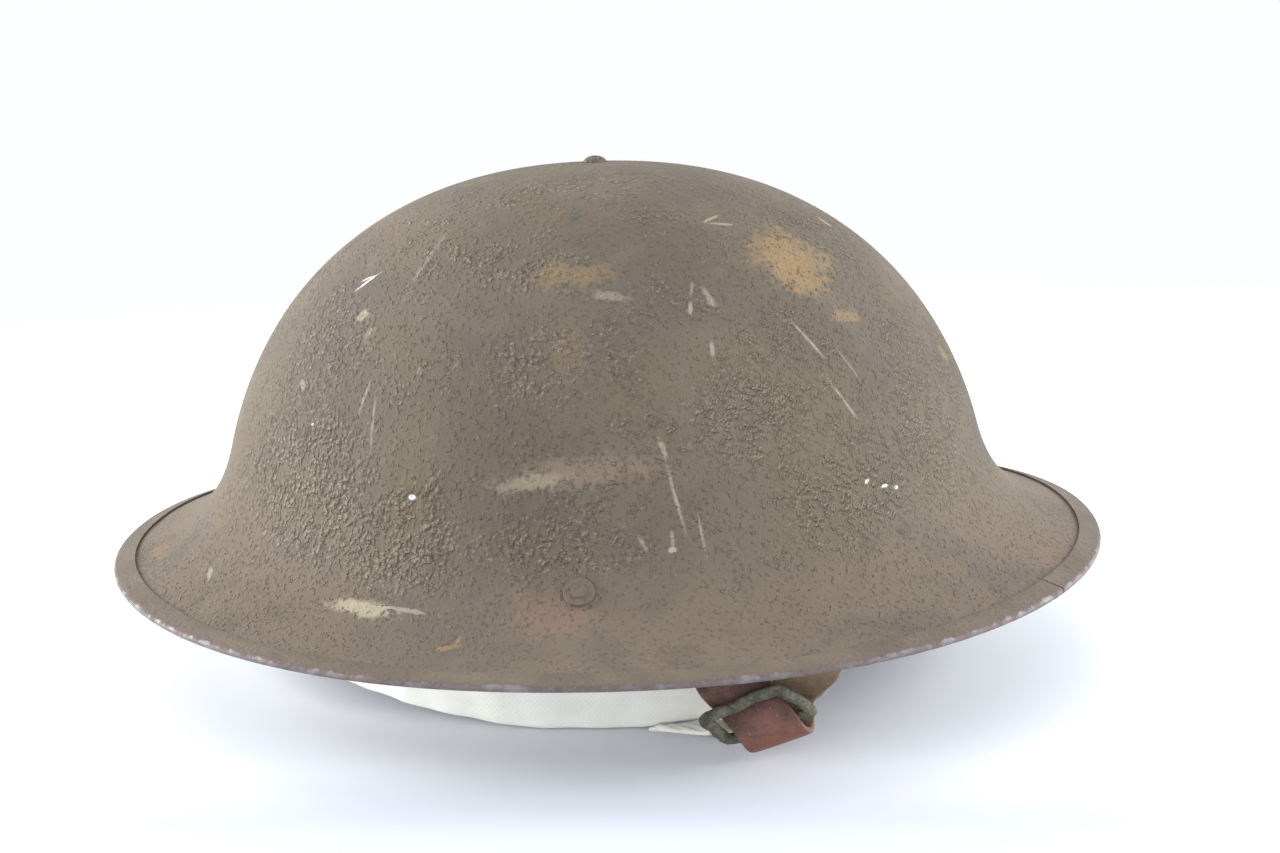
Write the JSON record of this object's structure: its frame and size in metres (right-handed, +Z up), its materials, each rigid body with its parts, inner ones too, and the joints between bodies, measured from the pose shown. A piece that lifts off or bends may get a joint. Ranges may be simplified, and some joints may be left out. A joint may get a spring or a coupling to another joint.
{
  "type": "steel trench helmet",
  "caption": "Wide-brimmed pressed steel helmet with folded rim strip, riveted leather liner, sprung spacers, wire chinstrap loops and a leather chinstrap with a slide buckle.",
  "frame": {"origin": "On the floor, under the middle of the helmet's bounding box.", "axes": "+X points towards the brim's front tip, along its long axis; +Y towards the far side, the wearer's left; +Z up through the crown."},
  "size_m": [0.3098, 0.2898, 0.1542],
  "materials": {
    "sand_paint": "matt khaki paint with coarse grit",
    "strip_steel": "worn paint over bare steel",
    "liner_steel": "dull, tarnished",
    "buckle_paint": "lumpy grey-green paint",
    "strap_leather": "worn grain side, tan flesh side",
    "liner_leather": "plain, dry",
    "oilcloth": "black oilcloth",
    "spacer_rubber": "matt, perished",
    "felt": "pressed felt",
    "lace_cord": "cotton cord",
    "wadding": "soft off-white quilting"
  },
  "bodies": {
    "helmet": {"shell": "sand_paint", "rim_strip": "strip_steel", "crown_rivet": "sand_paint", "crown_washer": "liner_steel", "crown_pad": "felt", "hanger_strap_long": "liner_leather", "hanger_strap_cross": "liner_leather", "hanger_rivets": "liner_steel", "liner_hoop": "liner_leather", "rubber_spacers": "spacer_rubber", "spacer_rivets": "liner_steel", "headband": "oilcloth", "liner_tongues": "oilcloth", "draw_lace": "lace_cord", "crown_net": "lace_cord", "wadding_band": "wadding", "wadding_flap": "wadding", "near_bail_bracket": "liner_steel", "near_bail_rivet": "sand_paint", "far_bail_bracket": "liner_steel", "far_bail_rivet": "sand_paint"},
    "near_bail": {"near_bail": "liner_steel"},
    "near_strap": {"near_strap": "strap_leather", "near_strap_rivet": "liner_steel"},
    "slide_buckle": {"slide_buckle": "buckle_paint"},
    "far_bail": {"far_bail": "liner_steel"},
    "far_strap": {"far_strap": "strap_leather", "far_strap_rivet": "liner_steel"}
  },
  "joints": [
    {"name": "near_bail_swing", "type": "hinge", "parent": "helmet", "child": "near_bail", "pos_m": [0.00761, -0.11121, 0.03904], "axis": [0.309, 0.6126, 0.7275], "range_deg": [-4, 10]},
    {"name": "near_strap_swing", "type": "hinge", "parent": "near_bail", "child": "near_strap", "pos_m": [0.02141, -0.11121, 0.03318], "axis": [0.309, 0.6126, 0.7275], "range_deg": [-10, 14]},
    {"name": "buckle_tilt", "type": "hinge", "parent": "near_strap", "child": "slide_buckle", "pos_m": [0.039, -0.1175, 0.0049], "axis": [0.9444, 0, 0.3288], "range_deg": [0, 25]},
    {"name": "far_bail_swing", "type": "hinge", "parent": "helmet", "child": "far_bail", "pos_m": [0.00761, 0.11121, 0.03904], "axis": [-0.309, 0.6126, -0.7275], "range_deg": [-4, 6]},
    {"name": "far_strap_swing", "type": "hinge", "parent": "far_bail", "child": "far_strap", "pos_m": [0.02141, 0.11121, 0.03318], "axis": [-0.309, 0.6126, -0.7275], "range_deg": [-10, 7]}
  ]
}
